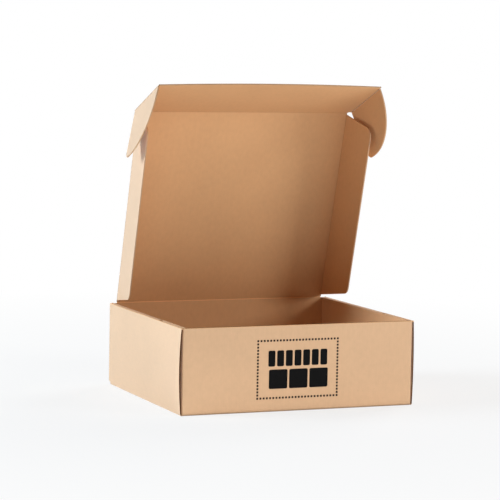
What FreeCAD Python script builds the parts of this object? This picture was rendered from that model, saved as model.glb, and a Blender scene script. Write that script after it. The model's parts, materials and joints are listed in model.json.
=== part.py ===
# Corrugated mailer box, open: a tray with rolled double side walls, and a lid with its flaps.
# Millimetres. X to the right, Y to the back, Z up. The origin is the centre of the underside.
import FreeCAD, Part
import math
import os

# Board and the whole box, over the outside of the tray
board = 1.5
box_width = 292.0
box_depth = 250.0
box_height = 100.0
fold_radius = 1.5

# Clearances between layers that lie side by side, and round each fold that moves
layer_gap = 0.3
fold_gap = 0.1

# Side walls: how far they bulge at the front edge, and the corner clipped off low at the back
left_bulge = 2.2
right_bulge = 1.0
clip_length = 12.0
clip_height = 5.0

# Flaps of the front and back wall that lie between the layers of a side wall
dust_flap_length = 70.0

# The pocket that the ears slide into, open at the top from the front end of each side wall
pocket_length = 78.0

# Tabs of the inner side walls, in slots through the bottom
tab_length = 42.0
tab_spacing = 120.0
slot_clearance = 0.3

# Lid, with its side flaps, and the room between them and the tray's inner faces
lid_clearance = 1.45
lid_open_angle = 74.0
side_flap_width = 61.0
side_flap_back_start = 3.0
side_flap_back_slope = 23.0
side_flap_front_gap = 2.5
side_flap_corner = 11.0
side_flap_splay = 7.0

# Tuck flap at the lid's front, with an ear at each end
tuck_length = 92.0
tuck_bow = 6.0
tuck_fold_angle = 52.5
tuck_shoulder = 3.0
ear_reach = 64.0
ear_start = 4.5
ear_end = 89.0
ear_back_corner = 7.0
left_ear_splay = 17.5
right_ear_splay = 14.5

# How far each flap can fold in from flat before its root meets the panel that carries it
side_flap_fold_in = 108.0
tuck_fold_in = 72.0
ear_fold_in = 104.0

# Layers of a side wall, from the outside in
outer_wall_x = box_width / 2
dust_flap_x = outer_wall_x - board - layer_gap
pocket_x = dust_flap_x - board
pocket_width = board + 2 * layer_gap
inner_wall_x = pocket_x - pocket_width
tray_inside_x = inner_wall_x - board

# Fold lines that move: the hinge, the lid's sides, the tuck's root and the ears' roots
hinge_y = box_depth / 2 - board / 2
hinge_z = box_height + board / 2
lid_side_x = tray_inside_x - lid_clearance - board / 2
ear_fold_x = pocket_x - pocket_width / 2
tuck_fold_y = -box_depth / 2 + board + layer_gap + board / 2

root_gap = board / 2 + fold_gap
lid_back_y = hinge_y - root_gap
hinge_point = FreeCAD.Vector(0, hinge_y, hinge_z)
tuck_fold_point = FreeCAD.Vector(0, tuck_fold_y, hinge_z)

X_AXIS = FreeCAD.Vector(1, 0, 0)
Y_AXIS = FreeCAD.Vector(0, 1, 0)
Z_AXIS = FreeCAD.Vector(0, 0, 1)


def box(x_range, y_range, z_range):
    """A block between two values along each axis."""
    size = [high - low for low, high in (x_range, y_range, z_range)]
    return Part.makeBox(*size, FreeCAD.Vector(x_range[0], y_range[0], z_range[0]))


def rod(start, direction, length, radius):
    """A round bar from a point along a direction."""
    return Part.makeCylinder(radius, length, start, direction)


def outline_plate(edges, thickness_direction):
    """A plate from the edges of its flat outline."""
    return Part.Face(Part.Wire(Part.__sortEdges__(edges))).extrude(thickness_direction)


def line(start, end):
    return Part.makeLine(FreeCAD.Vector(*start), FreeCAD.Vector(*end))


def arc(start, middle, end):
    points = [FreeCAD.Vector(*p) for p in (start, middle, end)]
    return Part.Arc(*points).toShape()


def mirrored(shape):
    """The same shape on the other side of the box."""
    return shape.mirror(FreeCAD.Vector(0, 0, 0), X_AXIS)


def wall_section(y, bulge):
    """The right outer side wall's section at one place along the box, bulged outward by an arc."""
    outside = outer_wall_x
    inside = outer_wall_x - board
    low = fold_radius
    high = box_height - fold_radius
    middle = (low + high) / 2
    if bulge > 0:
        outer_side = arc((outside, y, low), (outside + bulge, y, middle), (outside, y, high))
        inner_side = arc((inside, y, high), (inside + bulge, y, middle), (inside, y, low))
    else:
        outer_side = line((outside, y, low), (outside, y, high))
        inner_side = line((inside, y, high), (inside, y, low))
    top = line((outside, y, high), (inside, y, high))
    foot = line((inside, y, low), (outside, y, low))
    return Part.Wire([outer_side, top, inner_side, foot])


def outer_side_wall(bulge):
    """The right outer side wall, bulged at its front edge and flat at its back edge."""
    front = -box_depth / 2 + layer_gap
    back = box_depth / 2 - layer_gap
    panel = Part.makeLoft([wall_section(front, bulge), wall_section(back, 0)], True, True)
    inside = outer_wall_x - board
    head = box((inside, outer_wall_x), (front, back), (box_height - fold_radius, box_height))
    foot = box((inside, outer_wall_x), (front, back), (0, fold_radius))
    foot = foot.common(rounded_foot(front, back))
    clip = outline_plate(
        [
            line((0, back - clip_length, -1), (0, back + 1, -1)),
            line((0, back + 1, -1), (0, back + 1, clip_height)),
            line((0, back + 1, clip_height), (0, back, clip_height)),
            line((0, back, clip_height), (0, back - clip_length, 0)),
            line((0, back - clip_length, 0), (0, back - clip_length, -1)),
        ],
        FreeCAD.Vector(2 * box_width, 0, 0),
    )
    return panel.fuse([head, foot]).cut(clip)


def rounded_foot(front, back):
    """The round of the fold between the bottom and the right side wall."""
    centre = FreeCAD.Vector(outer_wall_x - fold_radius, front, fold_radius)
    return rod(centre, Y_AXIS, back - front, fold_radius)


def roll_top():
    """The strip over the right side wall's layers, rounded at both of its folds, with the pocket cut away."""
    front = -box_depth / 2 + pocket_length
    back = box_depth / 2 - board - layer_gap
    low = box_height - board
    r = fold_radius
    turn = r * (1 - math.sqrt(0.5))
    left, right = tray_inside_x, outer_wall_x
    edges = [
        line((left, front, low), (right, front, low)),
        line((left + r, front, box_height), (right - r, front, box_height)),
        arc((left, front, low), (left + turn, front, box_height - turn), (left + r, front, box_height)),
        arc((right, front, low), (right - turn, front, box_height - turn), (right - r, front, box_height)),
    ]
    return outline_plate(edges, FreeCAD.Vector(0, back - front, 0))


def tab_centres():
    return (-tab_spacing / 2, tab_spacing / 2)


def inner_side_wall():
    """The right inner side wall, with its tabs down through the bottom."""
    front = tuck_fold_y + board / 2 + layer_gap
    back = box_depth / 2 - board - layer_gap
    x_range = (tray_inside_x, inner_wall_x)
    wall = box(x_range, (front, back), (board + layer_gap / 2, box_height - board / 2))
    top_front = box(x_range, (front, -box_depth / 2 + pocket_length), (box_height - board, box_height))
    tabs = [
        box(x_range, (y - tab_length / 2, y + tab_length / 2), (0, board + layer_gap)) for y in tab_centres()
    ]
    return wall.fuse([top_front] + tabs)


def side_slots():
    """The slots in the bottom for the right inner wall's tabs."""
    x_range = (tray_inside_x - slot_clearance, inner_wall_x + slot_clearance)
    reach = tab_length / 2 + slot_clearance
    return [box(x_range, (y - reach, y + reach), (-1, board + 1)) for y in tab_centres()]


def end_wall(height):
    """The front wall and its two dust flaps, folded back between the layers of the side walls."""
    width = dust_flap_x
    front = -box_depth / 2
    r = fold_radius
    outer = box((-width, width), (front, front + dust_flap_length), (0, height))
    upright = [e for e in outer.Edges if abs(e.tangentAt(e.FirstParameter).z) > 0.9]
    upright = [e for e in upright if e.CenterOfMass.y < front + r]
    outer = outer.makeFillet(r, upright)
    inner = box((board - width, width - board), (front + board, front + dust_flap_length + 1), (-1, height + 1))
    shell = outer.cut(inner)
    under_flaps = box((-width - 1, width + 1), (front + 2 * board, front + dust_flap_length + 1), (-1, board + layer_gap))
    over_flaps = box(
        (-width - 1, width + 1),
        (front + 2 * board, front + dust_flap_length + 1),
        (box_height - board - layer_gap, height + 1),
    )
    shell = shell.cut([under_flaps, over_flaps])
    return shell.common(rounded_front_foot(width, front, height))


def rounded_front_foot(width, front, height):
    """The space above the rounded fold between the bottom and the front wall."""
    block = box((-width, width), (front, front + dust_flap_length), (0, height))
    foot = [e for e in block.Edges if abs(e.CenterOfMass.y - front) < 1e-6 and abs(e.CenterOfMass.z) < 1e-6]
    return block.makeFillet(fold_radius, foot)


def bottom():
    """The bottom panel, between the rounded folds of the four walls."""
    half_x = outer_wall_x - fold_radius
    half_y = box_depth / 2 - fold_radius
    plate = box((-half_x, half_x), (-half_y, half_y), (0, board))
    for slot in side_slots():
        plate = plate.cut([slot, mirrored(slot)])
    return plate


def make_tray():
    """The tray: bottom, front and back walls with dust flaps, and the rolled side walls."""
    front_wall = end_wall(box_height)
    back_wall = end_wall(hinge_z).rotated(FreeCAD.Vector(0, 0, 0), Z_AXIS, 180)
    shoulder = box((lid_side_x, box_width), (hinge_y - board, box_depth), (box_height, hinge_z + board))
    back_wall = back_wall.cut([shoulder, mirrored(shoulder)])
    back_edge = FreeCAD.Vector(-lid_side_x, hinge_y, hinge_z)
    knuckle = rod(back_edge, X_AXIS, 2 * lid_side_x, board / 2)
    right = outer_side_wall(right_bulge).fuse([roll_top(), inner_side_wall()])
    left = mirrored(outer_side_wall(left_bulge).fuse([roll_top(), inner_side_wall()]))
    tray = bottom().fuse([front_wall, back_wall, knuckle, right, left])
    return tray.removeSplitter()


def fold_round(point, direction, length):
    """The rounded edge of board along a fold."""
    return rod(point, direction, length, board / 2)


def fold_relief(point, direction, panel_side, fold_in):
    """What a flat flap leaves free at its fold: the rounded edge of the panel that carries it,
    and that panel itself, seen from the flap when it is folded in."""
    length = 4 * box_depth
    start = point - direction * (length / 2)
    half_thickness = Z_AXIS * root_gap
    depth = panel_side * (3 * board)
    corners = [start - half_thickness, start + depth - half_thickness, start + depth + half_thickness]
    corners.append(start + half_thickness)
    section = [Part.makeLine(corners[i], corners[(i + 1) % 4]) for i in range(4)]
    panel = outline_plate(section, direction * length)
    return [rod(start, direction, length, root_gap), panel.rotated(point, direction, -fold_in)]


def flat_lid():
    """The lid before it is opened: lying over the tray, with rounded edges along its folds."""
    plate = box((-lid_side_x, lid_side_x), (tuck_fold_y, lid_back_y), (box_height, box_height + board))
    front_edge = fold_round(FreeCAD.Vector(-lid_side_x, tuck_fold_y, hinge_z), X_AXIS, 2 * lid_side_x)
    side_edges = [
        fold_round(FreeCAD.Vector(side * lid_side_x, tuck_fold_y, hinge_z), Y_AXIS, lid_back_y - tuck_fold_y)
        for side in (-1, 1)
    ]
    return plate.fuse([front_edge] + side_edges).removeSplitter()


def flat_side_flap():
    """The right side flap, flat beside the lid."""
    root = lid_side_x
    edge = lid_side_x + side_flap_width
    back = hinge_y - side_flap_back_start
    slope = side_flap_width * math.tan(math.radians(side_flap_back_slope))
    front = tuck_fold_y + side_flap_front_gap
    z = box_height
    corners = [(root, back, z), (edge, back - slope, z), (edge, front, z), (root, front, z)]
    edges = [line(corners[i], corners[(i + 1) % 4]) for i in range(4)]
    plate = outline_plate(edges, FreeCAD.Vector(0, 0, board))
    outer = [e for e in plate.Edges if abs(e.CenterOfMass.x - edge) < 1e-6 and abs(e.Length - board) < 1e-6]
    plate = plate.makeFillet(side_flap_corner, outer)
    return plate.cut(fold_relief(FreeCAD.Vector(root, 0, hinge_z), Y_AXIS, -X_AXIS, side_flap_fold_in))


def flat_tuck():
    """The tuck flap, flat in front of the lid, with its free edge bowed and its ends rounded for the ears."""
    root = tuck_fold_y
    side_end = tuck_fold_y - tuck_length
    shoulder_y = root - tuck_shoulder
    z = box_height
    edges = [
        line((-lid_side_x, root, z), (lid_side_x, root, z)),
        line((lid_side_x, root, z), (lid_side_x + board, shoulder_y, z)),
        line((lid_side_x + board, shoulder_y, z), (ear_fold_x, shoulder_y, z)),
        line((ear_fold_x, shoulder_y, z), (ear_fold_x, side_end, z)),
        arc((ear_fold_x, side_end, z), (0, side_end - tuck_bow, z), (-ear_fold_x, side_end, z)),
        line((-ear_fold_x, side_end, z), (-ear_fold_x, shoulder_y, z)),
        line((-ear_fold_x, shoulder_y, z), (-lid_side_x - board, shoulder_y, z)),
        line((-lid_side_x - board, shoulder_y, z), (-lid_side_x, root, z)),
    ]
    plate = outline_plate(edges, FreeCAD.Vector(0, 0, board))
    rounds = [
        fold_round(FreeCAD.Vector(side * ear_fold_x, tuck_fold_y - ear_end, hinge_z), Y_AXIS, ear_end - tuck_shoulder)
        for side in (-1, 1)
    ]
    relief = fold_relief(tuck_fold_point, X_AXIS, Y_AXIS, tuck_fold_in)
    return plate.fuse(rounds).cut(relief).removeSplitter()


def flat_ear():
    """The right ear, flat beside the tuck flap: a straight back edge and an elliptical free edge."""
    root = ear_fold_x
    back = tuck_fold_y - ear_start
    front = tuck_fold_y - ear_end
    centre_y = back - 2 * ear_back_corner
    edge = root + ear_reach
    z = box_height
    ellipse = Part.Ellipse(FreeCAD.Vector(0, 0, 0), ear_end - ear_start - 2 * ear_back_corner, ear_reach)
    quarter = Part.Edge(ellipse, 0, math.pi / 2)
    quarter.rotate(FreeCAD.Vector(0, 0, 0), Z_AXIS, -90)
    quarter.translate(FreeCAD.Vector(root, centre_y, z))
    edges = [
        quarter,
        line((edge, centre_y, z), (edge, back, z)),
        line((edge, back, z), (root, back, z)),
        line((root, back, z), (root, front, z)),
    ]
    plate = outline_plate(edges, FreeCAD.Vector(0, 0, board))
    corner = [
        e for e in plate.Edges
        if abs(e.Length - board) < 1e-6 and (e.CenterOfMass - FreeCAD.Vector(edge, back, hinge_z)).Length < 1e-3
    ]
    plate = plate.makeFillet(ear_back_corner, corner)
    return plate.cut(fold_relief(FreeCAD.Vector(root, 0, hinge_z), Y_AXIS, -X_AXIS, ear_fold_in))


def open_lid(shape):
    """Turns a piece about the hinge, from lying on the tray to where the lid stands open."""
    return shape.rotated(hinge_point, X_AXIS, -lid_open_angle)


def fold_tuck(shape):
    """Turns a piece about the tuck flap's root."""
    return shape.rotated(tuck_fold_point, X_AXIS, tuck_fold_angle)


def fold_side(shape, fold_x, splay):
    """Turns the right-hand copy of a flap down about its root, all but its outward splay."""
    return shape.rotated(FreeCAD.Vector(fold_x, 0, hinge_z), Y_AXIS, 90 - splay)


def make_parts():
    """Every piece of the box, by name."""
    side_flap = fold_side(flat_side_flap(), lid_side_x, side_flap_splay)
    right_ear = fold_side(flat_ear(), ear_fold_x, right_ear_splay)
    left_ear = mirrored(fold_side(flat_ear(), ear_fold_x, left_ear_splay))
    return {
        "tray": make_tray(),
        "lid": open_lid(flat_lid()),
        "side_flap_right": open_lid(side_flap),
        "side_flap_left": open_lid(mirrored(side_flap)),
        "tuck_flap": open_lid(fold_tuck(flat_tuck())),
        "ear_right": open_lid(fold_tuck(right_ear)),
        "ear_left": open_lid(fold_tuck(left_ear)),
    }


os.makedirs("parts", exist_ok=True)
for name, shape in make_parts().items():
    shape.exportStep("parts/" + name + ".step")
    print(name, "solids", len(shape.Solids), "valid", shape.isValid(), "cm3", round(shape.Volume / 1000, 2))
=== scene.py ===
# %% [markdown]
# # A corrugated mailer box, standing open
#
# The box is one sheet of brown corrugated board, cut, creased and folded. It stands with its lid
# leaning over the tray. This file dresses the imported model: it keeps the tray's solid, builds the
# thin panels again as real corrugated board with a waved paper between two flat ones, prints the
# front wall, and sets up paper materials, soft light and the camera.

# %% Load the frame
import json
import math

import bpy
import numpy as np
from mathutils import Matrix, Vector
from mathutils.bvhtree import BVHTree


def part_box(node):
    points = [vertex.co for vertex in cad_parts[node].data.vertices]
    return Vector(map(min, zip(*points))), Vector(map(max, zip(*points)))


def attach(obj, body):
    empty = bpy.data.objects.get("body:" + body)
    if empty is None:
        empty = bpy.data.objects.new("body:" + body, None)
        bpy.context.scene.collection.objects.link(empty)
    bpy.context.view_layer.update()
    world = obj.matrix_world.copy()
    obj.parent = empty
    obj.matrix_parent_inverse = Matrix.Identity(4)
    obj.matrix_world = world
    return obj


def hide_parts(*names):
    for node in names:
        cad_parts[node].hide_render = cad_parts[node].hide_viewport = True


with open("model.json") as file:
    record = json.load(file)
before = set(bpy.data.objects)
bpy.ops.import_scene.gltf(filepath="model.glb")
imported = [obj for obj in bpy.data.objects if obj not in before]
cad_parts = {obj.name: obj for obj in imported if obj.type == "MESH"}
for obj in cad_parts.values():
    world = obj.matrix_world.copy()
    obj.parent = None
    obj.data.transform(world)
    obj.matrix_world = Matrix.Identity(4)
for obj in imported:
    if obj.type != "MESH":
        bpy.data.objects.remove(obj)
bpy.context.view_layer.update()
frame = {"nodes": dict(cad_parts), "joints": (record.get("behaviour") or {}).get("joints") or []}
scene = bpy.context.scene

# %% [markdown]
# ## Sizes of the board
#
# Everything is in metres. The board is E-flute: a waved middle paper, the medium, glued between two
# flat papers, the liners. The liners sink a little between the crests that they are glued to, which
# gives the faint washboard look of such board in raking light.

# %% Board sizes
MM = 0.001
BOARD = 1.5 * MM
LINER = 0.24 * MM
MEDIUM = 0.26 * MM
FLUTE_PITCH = 3.2 * MM
COLUMNS_PER_FLUTE = 10
LINER_DIP = 0.03 * MM
HALF_BOARD = BOARD / 2
WAVE = HALF_BOARD - LINER - MEDIUM / 2

tray_low, tray_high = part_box("tray")
print("tray from", [round(c / MM, 1) for c in tray_low], "to", [round(c / MM, 1) for c in tray_high])

# %% [markdown]
# ## A helper for node trees
#
# Materials and Geometry Nodes are both trees of nodes. One helper adds a node, sets its options, and
# either links or fills its inputs, so that the trees below read like formulas.

# %% Node helper


def add(tree, kind, inputs=None, **options):
    """Adds a node. An input is named or numbered, and is a value or another node's output."""
    made = tree.nodes.new(kind)
    for option, value in options.items():
        setattr(made, option, value)
    for key, value in (inputs or {}).items():
        if isinstance(value, bpy.types.NodeSocket):
            tree.links.new(value, made.inputs[key])
        else:
            made.inputs[key].default_value = value
    return made


def math_node(tree, operation, first, second=0.0):
    """One step of arithmetic."""
    return add(tree, "ShaderNodeMath", {0: first, 1: second}, operation=operation).outputs[0]


def scaled(tree, vector, factors):
    """A vector times three factors, which stretches a pattern more one way than another."""
    return add(tree, "ShaderNodeVectorMath", {0: vector, 1: factors}, operation="MULTIPLY").outputs[0]


# A Mix node has a pair of inputs for each kind of value: 4 and 5 are vectors, 6 and 7 are colours.


def mixed(tree, share, first, second, blend_type="MIX"):
    """Two colours mixed by a share between 0 and 1."""
    inputs = {0: share, 6: first, 7: second}
    return add(tree, "ShaderNodeMix", inputs, data_type="RGBA", blend_type=blend_type).outputs[2]


def mixed_vector(tree, share, first, second):
    """Two vectors mixed by a share between 0 and 1."""
    return add(tree, "ShaderNodeMix", {0: share, 4: first, 5: second}, data_type="VECTOR").outputs[1]


def weighted(tree, *parts):
    """The sum of values, each times its weight."""
    total = 0.0
    for value, weight in parts:
        total = math_node(tree, "ADD", math_node(tree, "MULTIPLY", value, weight), total)
    return total


def ranged(tree, value, low, high, to_low=0.0, to_high=1.0):
    """A value's place between low and high, as a number from to_low to to_high."""
    inputs = {"Value": value, "From Min": low, "From Max": high, "To Min": to_low, "To Max": to_high}
    return add(tree, "ShaderNodeMapRange", inputs, clamp=True).outputs[0]


# %% [markdown]
# ## Where a paper pattern lies
#
# Paper has a direction. Its fibres and the flutes under it run one way on each panel, so the pattern
# needs two coordinates that follow the panel: one across the flutes and one along them. The panels
# that are built below carry a UV map with just that, in metres. The tray is one solid, so there the
# two coordinates are picked from the Object coordinates by which way the surface faces.

# %% Panel coordinates
# a face looks along an axis when at least this much of its normal does
FACES_ALONG = 0.7


def uv_place(tree):
    """Across and along the flutes, from the panel's own UV map."""
    return add(tree, "ShaderNodeUVMap", uv_map="board").outputs[0]


def facing(tree, normal, axis):
    """1 where the surface faces along an axis, else 0."""
    parts = add(tree, "ShaderNodeSeparateXYZ", {0: normal})
    size = math_node(tree, "ABSOLUTE", parts.outputs[axis])
    return math_node(tree, "GREATER_THAN", size, FACES_ALONG)


def tray_place(tree):
    """Across and along the flutes on the tray's walls and bottom."""
    coordinates = add(tree, "ShaderNodeTexCoord")
    place = add(tree, "ShaderNodeSeparateXYZ", {0: coordinates.outputs["Object"]})
    x, y, z = place.outputs
    on_side = facing(tree, coordinates.outputs["Normal"], 0)
    on_end = facing(tree, coordinates.outputs["Normal"], 1)
    end = add(tree, "ShaderNodeCombineXYZ", {0: x, 1: z, 2: y}).outputs[0]
    side = add(tree, "ShaderNodeCombineXYZ", {0: z, 1: y, 2: x}).outputs[0]
    flat = add(tree, "ShaderNodeCombineXYZ", {0: x, 1: y, 2: z}).outputs[0]
    upright = mixed_vector(tree, on_end, flat, end)
    return mixed_vector(tree, on_side, upright, side)


# %% [markdown]
# ## Kraft paper
#
# Kraft liner is unbleached pulp: brown, matt, a little cloudy, with short fibres that lie a little
# more one way, a few dark flecks of bark and a few pale ones of recycled paper. Each of these is a
# noise of its own size, and all of them are faint, because smooth board looks almost plain from a
# step away. Loose fibres at the surface catch glancing light, which the shader calls sheen: it makes
# the faces that are seen from the side, with the lamp behind them, paler than the others.

# %% Paper colours
KRAFT_OUTSIDE = (0.640, 0.400, 0.226, 1.0)
# the inside paper is warmer and deeper than the outside as painted shade, where light has bounced about
# inside the box
KRAFT_INSIDE = (0.672, 0.372, 0.172, 1.0)
# painted shade: this tint makes the tray's inner faces and rolled tops warmer and deeper, as light that has
# bounced about inside the box looks
INSIDE_SHADE_TINT = (1.02, 0.90, 0.72, 1.0)
# a painted highlight on the ridge of the hinge, where it catches the light
RIDGE_HIGHLIGHT_TINT = (1.35, 1.35, 1.35, 1.0)
KRAFT_EDGE = (0.620, 0.400, 0.240, 1.0)
FLUTE_PAPER = (0.610, 0.380, 0.210, 1.0)
# the crease is darker than the board partly as pressed paper and partly as painted shade in the fold
CREASE = (0.360, 0.190, 0.085, 1.0)
DARK_PAPER = 0.93
PALE_PAPER = 1.06
BARK = 0.55

# %% Paper patterns
# spots per metre across the flutes, along them and through the board
CLOUDS = 14.0
CLOUD_DETAIL = 3.0
MOTTLE = (230.0, 150.0, 230.0)
FIBRES = (2200.0, 800.0, 2200.0)
FLECKS = (900.0, 480.0, 900.0)
# how much clouds, mottle and fibres count in the shade, and fibres, mottle and flutes in the relief
SHADE_PARTS = (0.45, 0.35, 0.20)
RELIEF_PARTS = (0.6, 0.4, 0.25)
SHADE_RANGE = (0.30, 0.70)
# the noise at which a fleck starts and is full, and its share of the colour there
BARK_FLECKS = (0.73, 0.80, 0.0, 0.50)
PALE_FLECKS = (0.27, 0.20, 0.0, 0.35)

# %% Paper finish
RELIEF_STRENGTH = 0.22
RELIEF_DEPTH = 0.05 * MM
PRESSED_SPECULAR = 0.10
PAPER_ROUGHNESS = 0.68
PAPER_SPECULAR = 0.40
PAPER_SHEEN = 0.70
PAPER_SHEEN_ROUGHNESS = 0.45
INSIDE_SHEEN = 0.05
ROLL_SHEEN = 0.10
# heights over which the paper is the rolled top of a side, and the ridge of the hinge
ROLL_TOP = 99.4 * MM
RIDGE_FROM = 100.1 * MM
# the tray's faces that are nearer than this to its middle, along X and Y, and above this height look inward
TRAY_INSIDE = (139.2 * MM, 123.6 * MM)
INSIDE_FROM = 1.45 * MM

# %% Kraft material


def above(tree, level):
    """1 above a height, else 0."""
    place = add(tree, "ShaderNodeTexCoord").outputs["Object"]
    height = add(tree, "ShaderNodeSeparateXYZ", {0: place}).outputs[2]
    return math_node(tree, "GREATER_THAN", height, level)


def noise(tree, place, per_metre):
    """A noise that is drawn out one way by its numbers of spots per metre."""
    spots = scaled(tree, place, per_metre)
    return add(tree, "ShaderNodeTexNoise", {"Vector": spots, "Scale": 1.0}).outputs[0]


def shaded(colour, factor):
    """A colour made darker or paler."""
    return tuple(min(1.0, part * factor) for part in colour[:3]) + (1.0,)


def kraft(name, colour, place_of, flute_share, sheen=0.0, specular=PAPER_SPECULAR, inside_of=None):
    """A kraft paper material. flute_share is how far the flutes show through as pale and dark lines, and
    inside_of gives the share of a painted shade, a warmer and deeper tint, on the inside of a piece that has
    both."""
    material = bpy.data.materials.new(name)
    material.use_nodes = True
    tree = material.node_tree
    shader = tree.nodes["Principled BSDF"]
    place = place_of(tree)
    clouds = {"Vector": place, "Scale": CLOUDS, "Detail": CLOUD_DETAIL}
    clouds = add(tree, "ShaderNodeTexNoise", clouds).outputs[0]
    mottle = noise(tree, place, MOTTLE)
    fibres = noise(tree, place, FIBRES)
    flecks = noise(tree, place, FLECKS)
    waves = add(tree, "ShaderNodeSeparateXYZ", {0: place}).outputs[0]
    waves = math_node(tree, "MULTIPLY", waves, 2 * math.pi / FLUTE_PITCH)
    waves = math_node(tree, "SINE", waves)

    pale = shaded(colour, PALE_PAPER)
    shade = weighted(tree, *zip((clouds, mottle, fibres), SHADE_PARTS), (waves, flute_share))
    paper = mixed(tree, ranged(tree, shade, *SHADE_RANGE), shaded(colour, DARK_PAPER), pale)
    paper = mixed(tree, ranged(tree, flecks, *BARK_FLECKS), paper, shaded(colour, BARK))
    paper = mixed(tree, ranged(tree, flecks, *PALE_FLECKS), paper, pale)
    if inside_of:
        # painted shade: the inside is tinted warmer and deeper, where light has bounced about inside the box
        painted_shade = mixed(tree, 1.0, paper, INSIDE_SHADE_TINT, "MULTIPLY")
        paper = mixed(tree, inside_of(tree), paper, painted_shade)
        # a painted highlight on the ridge over the back wall, where the hinge catches the light
        lit_ridge = mixed(tree, 1.0, paper, RIDGE_HIGHLIGHT_TINT, "MULTIPLY")
        paper = mixed(tree, above(tree, RIDGE_FROM), paper, lit_ridge)
    tree.links.new(paper, shader.inputs["Base Color"])

    relief = weighted(tree, *zip((fibres, mottle, waves), RELIEF_PARTS))
    relief = {"Height": relief, "Strength": RELIEF_STRENGTH, "Distance": RELIEF_DEPTH}
    tree.links.new(add(tree, "ShaderNodeBump", relief).outputs[0], shader.inputs["Normal"])
    shader.inputs["Roughness"].default_value = PAPER_ROUGHNESS
    shader.inputs["Specular IOR Level"].default_value = specular
    shader.inputs["Sheen Weight"].default_value = sheen
    if inside_of:
        # the rolled tops are pressed smooth, so no loose fibres catch the light there
        rolled = ranged(tree, above(tree, ROLL_TOP), 0.0, 1.0, sheen, ROLL_SHEEN)
        tree.links.new(rolled, shader.inputs["Sheen Weight"])
    shader.inputs["Sheen Roughness"].default_value = PAPER_SHEEN_ROUGHNESS
    return material


# %% The papers


def tray_inside(tree):
    """1 on the faces that look into the tray and on the rolled tops of its sides, which take the painted
    shade, else 0.
    """
    place = add(tree, "ShaderNodeTexCoord").outputs["Object"]
    x, y, z = add(tree, "ShaderNodeSeparateXYZ", {0: place}).outputs
    share = math_node(tree, "GREATER_THAN", z, INSIDE_FROM)
    for value, limit in zip((x, y), TRAY_INSIDE):
        within = math_node(tree, "LESS_THAN", math_node(tree, "ABSOLUTE", value), limit)
        share = math_node(tree, "MULTIPLY", share, within)
    on_roll = math_node(tree, "GREATER_THAN", z, ROLL_TOP)
    return math_node(tree, "MAXIMUM", share, on_roll)


TRAY_FLUTES = 0.015
PANEL_FLUTES = 0.012
# the tray's inside and rolled tops carry a painted shade, and the ridge of its hinge a painted highlight
kraft_tray = kraft("kraft_tray", KRAFT_OUTSIDE, tray_place, TRAY_FLUTES, PAPER_SHEEN, inside_of=tray_inside)
kraft_outside = kraft("kraft_outside", KRAFT_OUTSIDE, uv_place, PANEL_FLUTES, PAPER_SHEEN)
kraft_inside = kraft("kraft_inside", KRAFT_INSIDE, uv_place, PANEL_FLUTES, INSIDE_SHEEN)
cut_edge = kraft("cut_edge", KRAFT_EDGE, uv_place, 0.0)
flute_paper = kraft("flute_paper", FLUTE_PAPER, uv_place, 0.0)
# the crease beads: pressed paper, darkened further as painted shade in the fold
crease = kraft("crease", CREASE, uv_place, 0.0, specular=PRESSED_SPECULAR)
BOARD_MATERIALS = (kraft_outside, kraft_inside, cut_edge, flute_paper, crease)
print("paper materials:", [m.name for m in BOARD_MATERIALS])

# %% [markdown]
# ## Panels of real corrugated board
#
# A lid panel could stay a plain plate with a picture of flutes on its edge. Real board shows its
# flutes in the shape: at each edge that cuts across them there is a row of small arches. So each
# panel is built from three sheets, the two liners and the waved medium, with a plain core a little
# way in that keeps light from falling through the flutes. A sheet is a row of narrow columns laid
# side by side across the flutes, and a ray cast through the solid of the same panel finds where each
# column starts and ends. That way every cut, round and crease relief of the solid is followed without
# writing its outline a second time.

# %% Panel frame
# a ray starts this far outside the solid, and runs at least this deep under the board's faces
RUN_UP = 5 * MM
UNDER_FACE = 0.02 * MM


def joint_named(name):
    """A joint of the frame."""
    return next(joint for joint in frame["joints"] if joint["name"] == name)


def solid_of(mesh):
    """A mesh made ready for rays."""
    return BVHTree.FromPolygons([v.co for v in mesh.vertices], [p.vertices[:] for p in mesh.polygons])


class Panel:
    """A flat piece of board: where it lies, which way its flutes run, and its solid."""

    def __init__(self, node, joint_name, outside, across=None):
        joint = joint_named(joint_name)
        mesh = frame["nodes"][node].data
        self.origin = Vector(joint["pos_m"])
        largest = max(mesh.polygons, key=lambda p: p.area)
        self.normal = largest.normal.normalized()
        if self.normal.dot(Vector(outside)) < 0:
            self.normal.negate()
        axis = Vector(joint["axis"]).normalized()
        self.across = Vector(across) if across else axis.cross(self.normal).normalized()
        self.along = self.normal.cross(self.across).normalized()
        points = [v.co - self.origin for v in mesh.vertices]
        self.across_range = self.reach(points, self.across)
        self.along_range = self.reach(points, self.along)
        self.solid = solid_of(mesh)

    @staticmethod
    def reach(points, direction):
        """The least and the greatest place of the points along a direction."""
        values = [p.dot(direction) for p in points]
        return [min(values), max(values)]

    def point(self, across, along, height):
        """A place on the panel, as a point of the frame."""
        return self.origin + self.across * across + self.along * along + self.normal * height

    def column(self, across, height):
        """Where the solid starts and ends along one line parallel to the flutes, or None."""
        inside = HALF_BOARD - UNDER_FACE
        height = max(-inside, min(inside, height))
        low, high = self.along_range
        start = self.solid.ray_cast(self.point(across, low - RUN_UP, height), self.along)[0]
        end = self.solid.ray_cast(self.point(across, high + RUN_UP, height), -self.along)[0]
        if start is None or end is None:
            return None
        return (start - self.origin).dot(self.along), (end - self.origin).dot(self.along)


# %% Sheets of a panel
# places in BOARD_MATERIALS
OUTSIDE, INSIDE, CUT, FLUTED, CREASED = range(5)
CORE_INSET = 0.12 * MM
OUTER_ROOM = HALF_BOARD - LINER
INNER_ROOM = LINER - HALF_BOARD


def flute(across):
    """The wave of the medium, from -1 to 1."""
    return math.sin(2 * math.pi * across / FLUTE_PITCH)


def dip(across, crest):
    """How far a liner sinks: not at all where the medium's crest, 1 outside and -1 inside, touches it."""
    return LINER_DIP * (1 - crest * flute(across)) / 2


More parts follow.
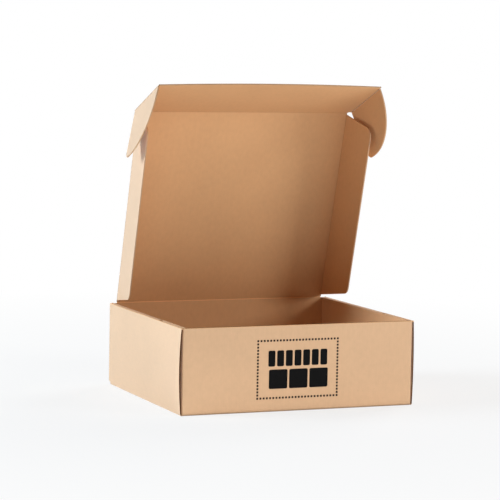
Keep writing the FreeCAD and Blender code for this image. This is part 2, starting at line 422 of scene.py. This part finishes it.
SHEETS = {
    # the sheet's lower and upper height at a place across the flutes, its material and its inset
    "outer liner": (lambda s: OUTER_ROOM, lambda s: HALF_BOARD - dip(s, 1), OUTSIDE, 0.0),
    "inner liner": (lambda s: dip(s, -1) - HALF_BOARD, lambda s: INNER_ROOM, INSIDE, 0.0),
    "medium": (lambda s: WAVE * flute(s) - MEDIUM / 2, lambda s: WAVE * flute(s) + MEDIUM / 2, FLUTED, 0.0),
    "core": (lambda s: INNER_ROOM, lambda s: OUTER_ROOM, FLUTED, CORE_INSET),
}
print("sheets:", list(SHEETS))

# %% One sheet
INTO_SOLID = 0.01 * MM


def add_sheet(panel, low_of, high_of, slot, inset, limits, mesh):
    """Adds one sheet of the panel to the lists in mesh: a closed strip of columns."""
    step = FLUTE_PITCH / COLUMNS_PER_FLUTE
    first, last = limits["across"][0] + inset, limits["across"][1] - inset
    count = max(2, round((last - first) / step))
    rings = []
    for i in range(count + 1):
        across = first + (last - first) * i / count
        probe = min(max(across, first + INTO_SOLID), last - INTO_SOLID)
        corners = []
        for height in (low_of(across), high_of(across)):
            found = panel.column(probe, height)
            if found is None:
                break
            start = max(found[0], limits["along"][0]) + inset
            end = min(found[1], limits["along"][1]) - inset
            if end - start > inset:
                corners.append([(across, start, height), (across, end, height)])
        if len(corners) < 2:
            continue
        (low_start, low_end), (high_start, high_end) = corners
        rings.append([low_start, low_end, high_end, high_start])
    base = len(mesh["points"])
    for ring in rings:
        mesh["points"] += [panel.point(*corner) for corner in ring]
        mesh["places"] += [(corner[0], corner[1]) for corner in ring]
    sides = [slot, CUT, slot, CUT]
    for i in range(len(rings) - 1):
        here = base + 4 * i
        for k in range(4):
            after = (k + 1) % 4
            mesh["faces"].append((here + k, here + after, here + 4 + after, here + 4 + k))
            mesh["slots"].append(FLUTED if slot == FLUTED else sides[k])
    end = base + 4 * (len(rings) - 1)
    mesh["faces"] += [(base + 3, base + 2, base + 1, base), (end, end + 1, end + 2, end + 3)]
    mesh["slots"] += [CUT, CUT]


# %% From lists to an object
SMOOTH_UP_TO = math.radians(28)


def build(name, mesh, materials):
    """Turns the lists into an object, with its faces outward."""
    data = bpy.data.meshes.new(name)
    data.from_pydata(mesh["points"], [], mesh["faces"])
    for material in materials:
        data.materials.append(material)
    data.polygons.foreach_set("material_index", mesh["slots"])
    places = data.uv_layers.new(name="board")
    for loop in data.loops:
        places.data[loop.index].uv = mesh["places"][loop.vertex_index]
    data.shade_smooth()
    data.set_sharp_from_angle(angle=SMOOTH_UP_TO)
    data.update()
    piece = bpy.data.objects.new(name, data)
    scene.collection.objects.link(piece)
    return piece


# %% [markdown]
# ## Creases
#
# Where a panel is creased, both liners run on round the fold. The panel that carries the fold ends in
# a round bead there, as thick as the board. It lies on the joint's own axis, so the neighbour can
# turn about it.

# %% Crease beads
BEAD_SIDES = 20
# a vertex of the solid lies on the bead when it is this near to its round surface
ON_BEAD = 0.02 * MM


def add_bead(parent_node, joint_name, mesh, slot):
    """A round bead along a joint's axis, as long as the solid of the panel that carries it."""
    joint = joint_named(joint_name)
    centre = Vector(joint["pos_m"])
    axis = Vector(joint["axis"]).normalized()
    reach = []
    for vertex in frame["nodes"][parent_node].data.vertices:
        offset = vertex.co - centre
        distance = offset.dot(axis)
        if abs((offset - axis * distance).length - HALF_BOARD) < ON_BEAD:
            reach.append(distance)
    side = axis.orthogonal().normalized()
    other = axis.cross(side)
    base = len(mesh["points"])
    ends = (min(reach), max(reach))
    for distance in ends:
        for k in range(BEAD_SIDES):
            turn = 2 * math.pi * k / BEAD_SIDES
            spoke = side * math.cos(turn) + other * math.sin(turn)
            mesh["points"].append(centre + axis * distance + spoke * HALF_BOARD)
            mesh["places"].append((HALF_BOARD * turn, distance))
    for k in range(BEAD_SIDES):
        after = (k + 1) % BEAD_SIDES
        mesh["faces"].append((base + k, base + after, base + BEAD_SIDES + after, base + BEAD_SIDES + k))
        mesh["slots"].append(slot)
    mesh["faces"].append(tuple(base + k for k in reversed(range(BEAD_SIDES))))
    mesh["faces"].append(tuple(base + BEAD_SIDES + k for k in range(BEAD_SIDES)))
    mesh["slots"] += [slot, slot]


# %% [markdown]
# ## The lid and its flaps
#
# Six panels move: the lid, its two side flaps, the tuck flap and the tuck flap's two ears. The flutes
# run the long way of the blank, so across the lid and the tuck flap they are counted along X, and on
# the side flaps and ears they run parallel to the fold.

# %% Make a panel
# two directions count as parallel from this cosine on
PARALLEL = 0.9


def make_panel(node, joint_name, outside, across, folds):
    """Builds one panel as board, with a bead at each fold that it carries."""
    panel = Panel(node, joint_name, outside, across)
    limits = {"across": list(panel.across_range), "along": list(panel.along_range)}
    for fold in folds:
        joint = joint_named(fold)
        offset = Vector(joint["pos_m"]) - panel.origin
        key, direction = "across", panel.across
        if abs(Vector(joint["axis"]).dot(panel.across)) > PARALLEL:
            key, direction = "along", panel.along
        distance = offset.dot(direction)
        limits[key][1 if distance > sum(limits[key]) / 2 else 0] = distance
    mesh = {"points": [], "places": [], "faces": [], "slots": []}
    for low_of, high_of, slot, inset in SHEETS.values():
        add_sheet(panel, low_of, high_of, slot, inset, limits, mesh)
    for fold in folds:
        add_bead(node, fold, mesh, CREASED)
    piece = build(node + "_board", mesh, BOARD_MATERIALS)
    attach(piece, node)
    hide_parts(node)
    print(piece.name, len(piece.data.polygons), "faces")


# %% Build the six panels
X = (1.0, 0.0, 0.0)
PANELS = [
    # node, the joint at its root, outside of the board, across the flutes, folds that it carries
    ("lid", "lid_hinge", (0, 1, 0.3), X, ("side_flap_left_fold", "side_flap_right_fold", "tuck_flap_fold")),
    ("tuck_flap", "tuck_flap_fold", (0, 0.3, 1), X, ("ear_left_fold", "ear_right_fold")),
    ("side_flap_left", "side_flap_left_fold", (-1, 0, 0), None, ()),
    ("side_flap_right", "side_flap_right_fold", (1, 0, 0), None, ()),
    ("ear_left", "ear_left_fold", (-1, 0, 0), None, ()),
    ("ear_right", "ear_right_fold", (1, 0, 0), None, ()),
]
for row in PANELS:
    make_panel(*row)

# %% [markdown]
# ## The tray
#
# The tray's solid is right as it is: its rolled sides, tabs and dust flaps are all there. It only
# takes the paper material.

# %% Dress the tray
tray = frame["nodes"]["tray"]
tray.data.materials.clear()
tray.data.materials.append(kraft_tray)
print(tray.name, "is dressed in", kraft_tray.name)

# %% [markdown]
# ## Geometry Nodes
#
# The next pieces repeat: dots round a printed frame, blocks in a row, waves along a cut edge. A small
# node tree makes each kind, with its sizes as inputs, so that one tree serves every place. A helper
# runs a tree on a mesh of points or edges, and keeps the result as a plain mesh.

# %% Tree helpers


def new_tree(name, inputs):
    """A Geometry Nodes tree with named inputs, and the node that gives them."""
    made = bpy.data.node_groups.new(name, "GeometryNodeTree")
    made.interface.new_socket("Geometry", in_out="INPUT", socket_type="NodeSocketGeometry")
    for label, kind in inputs.items():
        made.interface.new_socket(label, in_out="INPUT", socket_type=kind)
    made.interface.new_socket("Geometry", in_out="OUTPUT", socket_type="NodeSocketGeometry")
    return made, made.nodes.new("NodeGroupInput").outputs


def painted(made, geometry, material):
    """The geometry with its material set."""
    return add(made, "GeometryNodeSetMaterial", {"Geometry": geometry, "Material": material}).outputs[0]


def end_tree(made, geometry, material=None):
    """Realizes the instances, sets the material and ends the tree."""
    geometry = add(made, "GeometryNodeRealizeInstances", {0: geometry}).outputs[0]
    if material:
        geometry = painted(made, geometry, material)
    add(made, "NodeGroupOutput", {0: geometry})


def grown(name, made, values, points, edges=()):
    """Runs a tree on points and edges, and returns the result as an object with a plain mesh."""
    seed = bpy.data.meshes.new(name + "_seed")
    seed.from_pydata(points, edges, [])
    carrier = bpy.data.objects.new(name + "_carrier", seed)
    scene.collection.objects.link(carrier)
    modifier = carrier.modifiers.new("tree", "NODES")
    modifier.node_group = made
    for socket in made.interface.items_tree:
        if socket.in_out == "INPUT" and socket.name in values:
            modifier[socket.identifier] = values[socket.name]
    bpy.context.view_layer.update()
    evaluated = carrier.evaluated_get(bpy.context.evaluated_depsgraph_get())
    data = bpy.data.meshes.new_from_object(evaluated)
    bpy.data.objects.remove(carrier)
    used = [data.materials[p.material_index] for p in data.polygons]
    kept = list(dict.fromkeys(used))
    data.materials.clear()
    for material in kept:
        data.materials.append(material)
    data.polygons.foreach_set("material_index", [kept.index(material) for material in used])
    data.name = name
    piece = bpy.data.objects.new(name, data)
    scene.collection.objects.link(piece)
    print(name, len(data.polygons), "faces,", [m.name for m in data.materials])
    return piece


# %% [markdown]
# ## Cut edges of the tray
#
# The tray's solid has plain edges. Where a cut goes across the flutes, as at the front end of the outer side
# walls and along the top of the front wall, real board shows its two liners and the waved medium between
# them. Here all of them are painted far darker than their paper, as painted shade of the dark gap and
# hollows at a cut edge, and the hollows are a near-black strip of painted shade. The tree below lays those
# four strips along a line.

# %% Cut edge papers
# painted shade: the cut edges' liners and medium are far darker than the board's paper, and the hollows near
# black
SHADED_EDGE_LINER = (0.170, 0.070, 0.026, 1.0)
SHADED_EDGE_FLUTE = (0.120, 0.048, 0.018, 1.0)
HOLLOW_SHADE = (0.050, 0.018, 0.006, 1.0)
EDGE_RELIEF = 0.16 * MM


def edge_place(tree):
    """The place on a cut edge, from the Object coordinates."""
    return add(tree, "ShaderNodeTexCoord").outputs["Object"]


shaded_edge_liner = kraft("shaded_edge_liner", SHADED_EDGE_LINER, edge_place, 0.0, specular=PRESSED_SPECULAR)
shaded_edge_flute = kraft("shaded_edge_flute", SHADED_EDGE_FLUTE, edge_place, 0.0, specular=PRESSED_SPECULAR)
hollow_shade = kraft("hollow_shade", HOLLOW_SHADE, edge_place, 0.0, specular=PRESSED_SPECULAR)
print("edge materials:", [m.name for m in (shaded_edge_liner, shaded_edge_flute, hollow_shade)])

# %% Cut edge strips
cut_tree, cut_inputs = new_tree("fluted_cut", {
    "Facing": "NodeSocketVector",
    "Board": "NodeSocketFloat",
    "Liner": "NodeSocketFloat",
    "Medium": "NodeSocketFloat",
    "Pitch": "NodeSocketFloat",
    "Relief": "NodeSocketFloat",
})


def strip(curve, way, width, relief, material):
    """A flat strip along a curve, as wide as the paper and as high as the relief."""
    turned = {"Curve": curve, "Normal": way}
    turned = add(cut_tree, "GeometryNodeSetCurveNormal", turned, mode="FREE").outputs[0]
    profile = {"Width": relief, "Height": width}
    profile = add(cut_tree, "GeometryNodeCurvePrimitiveQuadrilateral", profile).outputs[0]
    swept = {"Curve": turned, "Profile Curve": profile, "Fill Caps": True}
    swept = add(cut_tree, "GeometryNodeCurveToMesh", swept).outputs[0]
    return painted(cut_tree, swept, material)


def moved_across(curve, across, distance):
    """The same curve a little to one side, within the board's thickness."""
    offset = {0: across, "Scale": distance}
    offset = add(cut_tree, "ShaderNodeVectorMath", offset, operation="SCALE").outputs[0]
    return add(cut_tree, "GeometryNodeSetPosition", {"Geometry": curve, "Offset": offset}).outputs[0]


# %% Cut edge lines
POINTS_PER_FLUTE = 8.0
HOLLOW_RELIEF = 0.25

facing_way = cut_inputs["Facing"]
run = add(cut_tree, "GeometryNodeMeshToCurve", {0: cut_inputs["Geometry"]}).outputs[0]
step = math_node(cut_tree, "DIVIDE", cut_inputs["Pitch"], POINTS_PER_FLUTE)
run = add(cut_tree, "GeometryNodeResampleCurve", {"Curve": run, "Length": step}, mode="LENGTH").outputs[0]
tangent = add(cut_tree, "GeometryNodeInputTangent").outputs[0]
across = {0: tangent, 1: facing_way}
across = add(cut_tree, "ShaderNodeVectorMath", across, operation="CROSS_PRODUCT").outputs[0]
across = add(cut_tree, "ShaderNodeVectorMath", {0: across}, operation="NORMALIZE").outputs[0]
rail = math_node(cut_tree, "SUBTRACT", cut_inputs["Board"], cut_inputs["Liner"])
rail = math_node(cut_tree, "MULTIPLY", rail, 0.5)
other_rail = math_node(cut_tree, "MULTIPLY", rail, -1.0)
travelled = add(cut_tree, "GeometryNodeSplineParameter").outputs["Length"]
phase = math_node(cut_tree, "DIVIDE", travelled, cut_inputs["Pitch"])
phase = math_node(cut_tree, "SINE", math_node(cut_tree, "MULTIPLY", phase, 2 * math.pi))
swing = math_node(cut_tree, "SUBTRACT", rail, cut_inputs["Medium"])
waved = math_node(cut_tree, "MULTIPLY", phase, swing)
hollow_width = math_node(cut_tree, "MULTIPLY", rail, 2.0)
hollow_relief = math_node(cut_tree, "MULTIPLY", cut_inputs["Relief"], HOLLOW_RELIEF)
strips = add(cut_tree, "GeometryNodeJoinGeometry")
# the hollows are a near-black strip of painted shade
hollow = strip(run, facing_way, hollow_width, hollow_relief, hollow_shade)
cut_tree.links.new(hollow, strips.inputs[0])
for place, width, material in ((rail, "Liner", shaded_edge_liner), (other_rail, "Liner", shaded_edge_liner),
                               (waved, "Medium", shaded_edge_flute)):
    line = moved_across(run, across, place)
    made = strip(line, facing_way, cut_inputs[width], cut_inputs["Relief"], material)
    cut_tree.links.new(made, strips.inputs[0])
end_tree(cut_tree, strips.outputs[0])
print("cut edge tree:", len(cut_tree.nodes), "nodes")

# %% [markdown]
# The side walls bulge a little at the front, so the line along their cut edge is read off the solid:
# a ray is cast at the wall from outside at a few heights. The lines along the front wall's top and
# the back ends of the side walls are straight.

# %% Lines of the cut edges
HALF_DEPTH = 125 * MM
TRAY_HEIGHT = 100 * MM
FRONT_REACH = 142.4 * MM
END_GAP = 0.3 * MM
FOLD_RADIUS = 1.5 * MM
BACK_FOOT = 6 * MM
RUN_POINTS = 14
# the ray starts this far from the middle, and this far before the wall's end
PROBE_FROM = 0.3
PROBE_INSET = 0.05 * MM
tray_solid = solid_of(tray.data)


def side_run(side, end):
    """Points up the cut edge of one outer side wall, at its front end or its back end."""
    y = end * (HALF_DEPTH - END_GAP)
    low = FOLD_RADIUS if end < 0 else BACK_FOOT
    points = []
    for i in range(RUN_POINTS):
        z = low + (TRAY_HEIGHT - FOLD_RADIUS - low) * i / (RUN_POINTS - 1)
        probe = Vector((side * PROBE_FROM, y - end * PROBE_INSET, z))
        hit = tray_solid.ray_cast(probe, Vector((-side, 0, 0)))[0]
        points.append((hit.x - side * HALF_BOARD, y, z))
    return points


front_top = [(x, HALF_BOARD - HALF_DEPTH, TRAY_HEIGHT) for x in (-FRONT_REACH, FRONT_REACH)]
RUNS = [
    # name, points along the middle of the board, the way that the cut faces
    ("cut_front_left", side_run(-1, -1), (0, -1, 0)),
    ("cut_front_right", side_run(1, -1), (0, -1, 0)),
    ("cut_back_left", side_run(-1, 1), (0, 1, 0)),
    ("cut_back_right", side_run(1, 1), (0, 1, 0)),
    ("cut_front_top", front_top, (0, 0, 1)),
]
print("cut edges:", [(name, len(points)) for name, points, way in RUNS])

# %% Cut edges
CUT_SIZES = {"Board": BOARD, "Liner": LINER, "Medium": MEDIUM, "Pitch": FLUTE_PITCH, "Relief": EDGE_RELIEF}
for name, points, face_way in RUNS:
    values = {"Facing": face_way, **CUT_SIZES}
    edges = [(i, i + 1) for i in range(len(points) - 1)]
    piece = grown(name, cut_tree, values, points, edges)
    corners = np.array([v.co for v in piece.data.vertices]) / MM
    print(name, corners.min(axis=0).round(2), corners.max(axis=0).round(2))
    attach(piece, "tray")

# %% [markdown]
# ## Print on the front wall
#
# The front wall has a printed field: a frame of small square dots, with two rows of plain blocks in
# it. Ink lies on the paper as a film that is thinner than a hair, so each mark is a thin plate that
# just stands out of the wall. The dots are the outline points of a grid, and the blocks are one
# rounded plate repeated along a line.

# %% Ink
INK = (0.004, 0.004, 0.004, 1.0)
INK_FILM = 0.03 * MM
WORN_INK = 1.8
WORN_RANGE = (0.45, 0.75)
INK_FIBRES = 1400.0
INK_RELIEF_STRENGTH = 0.2
INK_RELIEF_DEPTH = 0.04 * MM
INK_ROUGHNESS = 0.80
INK_SPECULAR = 0.06


def ink_material():
    """Water-based ink that has sunk into the paper: nearly black, matt, a little uneven."""
    material = bpy.data.materials.new("ink")
    material.use_nodes = True
    tree = material.node_tree
    shader = tree.nodes["Principled BSDF"]
    place = add(tree, "ShaderNodeTexCoord").outputs["Object"]
    fibres = add(tree, "ShaderNodeTexNoise", {"Vector": place, "Scale": INK_FIBRES}).outputs[0]
    film = mixed(tree, ranged(tree, fibres, *WORN_RANGE), INK, shaded(INK, WORN_INK))
    tree.links.new(film, shader.inputs["Base Color"])
    relief = {"Height": fibres, "Strength": INK_RELIEF_STRENGTH, "Distance": INK_RELIEF_DEPTH}
    tree.links.new(add(tree, "ShaderNodeBump", relief).outputs[0], shader.inputs["Normal"])
    shader.inputs["Roughness"].default_value = INK_ROUGHNESS
    shader.inputs["Specular IOR Level"].default_value = INK_SPECULAR
    return material


ink = ink_material()
print("ink material:", ink.name)

# %% Dotted frame tree
# a point of the grid is on its outline from this share of the width or height on
ON_OUTLINE = 0.499
dot_tree, dot_inputs = new_tree("dotted_frame", {
    "Width": "NodeSocketFloat",
    "Height": "NodeSocketFloat",
    "Gaps Across": "NodeSocketInt",
    "Gaps Up": "NodeSocketInt",
    "Dot": "NodeSocketFloat",
    "Film": "NodeSocketFloat",
})
columns = math_node(dot_tree, "ADD", dot_inputs["Gaps Across"], 1.0)
rows = math_node(dot_tree, "ADD", dot_inputs["Gaps Up"], 1.0)
grid = add(dot_tree, "GeometryNodeMeshGrid", {
    "Size X": dot_inputs["Width"], "Size Y": dot_inputs["Height"], "Vertices X": columns, "Vertices Y": rows,
}).outputs[0]
seat = add(dot_tree, "ShaderNodeSeparateXYZ", {0: add(dot_tree, "GeometryNodeInputPosition").outputs[0]})
on_outline = []
for axis, size in ((0, "Width"), (1, "Height")):
    reach = math_node(dot_tree, "ABSOLUTE", seat.outputs[axis])
    edge = math_node(dot_tree, "MULTIPLY", dot_inputs[size], ON_OUTLINE)
    on_outline.append(math_node(dot_tree, "GREATER_THAN", reach, edge))
chosen = math_node(dot_tree, "MAXIMUM", *on_outline)
plate_size = {0: dot_inputs["Dot"], 1: dot_inputs["Dot"], 2: dot_inputs["Film"]}
plate_size = add(dot_tree, "ShaderNodeCombineXYZ", plate_size).outputs[0]
dot = add(dot_tree, "GeometryNodeMeshCube", {"Size": plate_size}).outputs[0]
dots = {"Points": grid, "Selection": chosen, "Instance": dot}
dots = add(dot_tree, "GeometryNodeInstanceOnPoints", dots).outputs[0]
upright = add(dot_tree, "GeometryNodeTransform", {0: dots, "Rotation": (math.pi / 2, 0, 0)}).outputs[0]
end_tree(dot_tree, upright, ink)
print("dotted frame tree:", len(dot_tree.nodes), "nodes")

# %% Dotted frame
FRAME_LOW = (-52 * MM, 16 * MM)
FRAME_HIGH = (48 * MM, 82.5 * MM)


def place_print(piece, low, high):
    """Moves a print to its field on the front wall, and lets it ride on the tray."""
    middle = Vector(((low[0] + high[0]) / 2, -HALF_DEPTH, (low[1] + high[1]) / 2))
    piece.data.transform(Matrix.Translation(middle))
    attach(piece, "tray")


values = {"Width": FRAME_HIGH[0] - FRAME_LOW[0], "Height": FRAME_HIGH[1] - FRAME_LOW[1]}
values.update({"Gaps Across": 25, "Gaps Up": 18, "Dot": 2.3 * MM, "Film": 2 * INK_FILM})
place_print(grown("print_frame", dot_tree, values, [(0, 0, 0)]), FRAME_LOW, FRAME_HIGH)

# %% Tree of a row of blocks
CORNER_POINTS = 5
row_tree, row_inputs = new_tree("block_row", {
    "Count": "NodeSocketInt",
    "Row Width": "NodeSocketFloat",
    "Height": "NodeSocketFloat",
    "Gap": "NodeSocketFloat",
    "Corner": "NodeSocketFloat",
    "Film": "NodeSocketFloat",
})
pitch = math_node(row_tree, "ADD", row_inputs["Row Width"], row_inputs["Gap"])
pitch = math_node(row_tree, "DIVIDE", pitch, row_inputs["Count"])
block_width = math_node(row_tree, "SUBTRACT", pitch, row_inputs["Gap"])
outline = {"Width": block_width, "Height": row_inputs["Height"]}
outline = add(row_tree, "GeometryNodeCurvePrimitiveQuadrilateral", outline).outputs[0]
rounded = {"Curve": outline, "Radius": row_inputs["Corner"], "Count": CORNER_POINTS}
rounded = add(row_tree, "GeometryNodeFilletCurve", rounded, mode="POLY").outputs[0]
face = add(row_tree, "GeometryNodeFillCurve", {0: rounded}, mode="NGONS").outputs[0]
block = {"Mesh": face, "Offset Scale": row_inputs["Film"]}
block = add(row_tree, "GeometryNodeExtrudeMesh", block).outputs[0]
first = math_node(row_tree, "SUBTRACT", block_width, row_inputs["Row Width"])
first = math_node(row_tree, "MULTIPLY", first, 0.5)
start = add(row_tree, "ShaderNodeCombineXYZ", {0: first}).outputs[0]
stride = add(row_tree, "ShaderNodeCombineXYZ", {0: pitch}).outputs[0]
seats = {"Count": row_inputs["Count"], "Start Location": start, "Offset": stride}
seats = add(row_tree, "GeometryNodeMeshLine", seats).outputs[0]
blocks = add(row_tree, "GeometryNodeInstanceOnPoints", {"Points": seats, "Instance": block}).outputs[0]
upright = add(row_tree, "GeometryNodeTransform", {0: blocks, "Rotation": (math.pi / 2, 0, 0)}).outputs[0]
end_tree(row_tree, upright, ink)
print("block row tree:", len(row_tree.nodes), "nodes")

# %% Rows of blocks
ROWS = [
    # name, how many blocks, the field's lower left and upper right corner as X and Z
    ("print_upper_row", 7, (-39 * MM, 52.5 * MM), (35 * MM, 71 * MM)),
    ("print_lower_row", 3, (-38 * MM, 26.5 * MM), (36 * MM, 49 * MM)),
]
for name, count, low, high in ROWS:
    values = {"Count": count, "Row Width": high[0] - low[0], "Height": high[1] - low[1], "Gap": 2.2 * MM}
    values.update({"Corner": 1.8 * MM, "Film": INK_FILM})
    place_print(grown(name, row_tree, values, [(0, 0, 0)]), low, high)

# %% [markdown]
# ## Camera
#
# The camera stands to the left of the box and a little above it, far away with a long lens, so that
# the box's upright edges stay nearly parallel, as they are in the picture. A long lens a few metres
# off is how such packshots are taken.

# %% Camera
CAMERA_PLACE = Vector((-1.034, -2.467, 0.424))
CAMERA_YAW = math.radians(22.49)
CAMERA_PITCH = math.radians(-5.33)
CAMERA_ROLL = math.radians(1.07)
PICTURE_SIDE = 500
FOCAL_PIXELS = 2239
SENSOR = 36.0

level = math.cos(CAMERA_PITCH)
view_direction = Vector((math.sin(CAMERA_YAW) * level, math.cos(CAMERA_YAW) * level, math.sin(CAMERA_PITCH)))
level_right = Vector((math.cos(CAMERA_YAW), -math.sin(CAMERA_YAW), 0))
level_up = level_right.cross(view_direction)
right = level_right * math.cos(CAMERA_ROLL) + level_up * math.sin(CAMERA_ROLL)
up = level_up * math.cos(CAMERA_ROLL) - level_right * math.sin(CAMERA_ROLL)
lens = bpy.data.cameras.new("camera")
lens.sensor_width = SENSOR
lens.lens = SENSOR * FOCAL_PIXELS / PICTURE_SIDE
camera = bpy.data.objects.new("camera", lens)
turn = Matrix((right, up, -view_direction)).transposed()
camera.matrix_world = Matrix.Translation(CAMERA_PLACE) @ turn.to_4x4()
scene.collection.objects.link(camera)
scene.camera = camera
print("lens", round(lens.lens, 1), "mm")

# %% [markdown]
# ## Floor, light and background
#
# A large soft lamp stands to the left and a little behind, so it lights the left outsides and leaves
# the insides in the lid's shade. The front wall and the lid get most of their light from below, as
# a white table throws it back: a lamp that lies on the floor in front does that. The tray's own
# walls hide it from the inside and from the foot of the lid, which turn dark and warm. A weak front
# lamp and a right one round it off. To the camera and to reflections the world is plain white, and
# the floor turns into that white away from the box.

# %% Floor
FLOOR_SIZE = 12.0
FLOOR_COLOUR = (0.90, 0.89, 0.88, 1.0)
FLOOR_ROUGHNESS = 0.9
# the floor glows by this much at the box and fully white from a distance on
GLOW_NEAR = 0.76
GLOW_FROM = 0.30
GLOW_FULL = 1.10

floor_mesh = bpy.data.meshes.new("floor")
half = FLOOR_SIZE / 2
floor_corners = [(-half, -half, 0), (half, -half, 0), (half, half, 0), (-half, half, 0)]
floor_mesh.from_pydata(floor_corners, [], [(0, 1, 2, 3)])
floor = bpy.data.objects.new("floor", floor_mesh)
scene.collection.objects.link(floor)

floor_paint = bpy.data.materials.new("floor_paint")
floor_paint.use_nodes = True
tree = floor_paint.node_tree
shader = tree.nodes["Principled BSDF"]
shader.inputs["Base Color"].default_value = FLOOR_COLOUR
shader.inputs["Roughness"].default_value = FLOOR_ROUGHNESS
glow = add(tree, "ShaderNodeEmission", {"Color": (1, 1, 1, 1), "Strength": 1.0})
rays = add(tree, "ShaderNodeLightPath")
spot = add(tree, "ShaderNodeTexCoord").outputs["Object"]
distance = add(tree, "ShaderNodeVectorMath", {0: spot}, operation="LENGTH").outputs["Value"]
glowing = ranged(tree, distance, GLOW_FROM, GLOW_FULL, GLOW_NEAR, 1.0)
seen = math_node(tree, "MULTIPLY", rays.outputs["Is Camera Ray"], glowing)
blend = add(tree, "ShaderNodeMixShader", {0: seen, 1: shader.outputs[0], 2: glow.outputs[0]})
tree.links.new(blend.outputs[0], tree.nodes["Material Output"].inputs["Surface"])
floor_mesh.materials.append(floor_paint)
print("floor:", FLOOR_SIZE, "m")

# %% World
WORLD_FILL = 0.07
world = bpy.data.worlds.new("studio")
scene.world = world
world.use_nodes = True
tree = world.node_tree
rays = add(tree, "ShaderNodeLightPath")
shown = math_node(tree, "MAXIMUM", rays.outputs["Is Camera Ray"], rays.outputs["Is Glossy Ray"])
shown = math_node(tree, "MAXIMUM", shown, rays.outputs["Is Transmission Ray"])
strength = ranged(tree, shown, 0.0, 1.0, WORLD_FILL, 1.0)
background = tree.nodes["Background"]
background.inputs["Color"].default_value = (1, 1, 1, 1)
tree.links.new(strength, background.inputs["Strength"])
print("world:", world.name)

# %% Lamps


def soft_lamp(name, place, aim, size, watts, colour=(1, 1, 1)):
    """A square area lamp that looks at a point."""
    data = bpy.data.lights.new(name, "AREA")
    data.color = colour
    data.shape = "SQUARE"
    data.size = size
    data.energy = watts
    lamp = bpy.data.objects.new(name, data)
    direction = Vector(aim) - Vector(place)
    lamp.matrix_world = Matrix.Translation(place) @ direction.to_track_quat("-Z", "Y").to_matrix().to_4x4()
    scene.collection.objects.link(lamp)
    return lamp


BOX_MIDDLE = (0.0, 0.0, 0.15)
COOL_LIGHT = (0.77, 0.895, 1.0)
# name, place, where it looks, side in metres, watts and colour
soft_lamp("left_lamp", (-2.3, 0.5, 0.9), BOX_MIDDLE, 1.2, 81, COOL_LIGHT)
soft_lamp("right_lamp", (2.3, 1.6, 1.1), BOX_MIDDLE, 1.4, 50)
soft_lamp("front_lamp", (2.2, -2.0, 1.05), BOX_MIDDLE, 1.0, 38)
table_light = soft_lamp("table_light", (0.50, -1.126, MM), (0.50, -1.126, 1.0), 2.0, 12.8)
table_light.visible_camera = False
print("lamps:", [lamp.name for lamp in bpy.data.lights])

# %% [markdown]
# ## Finish
#
# The view transform is Standard, so colours come out as they are written.

# %% Finish
scene.view_settings.view_transform = "Standard"
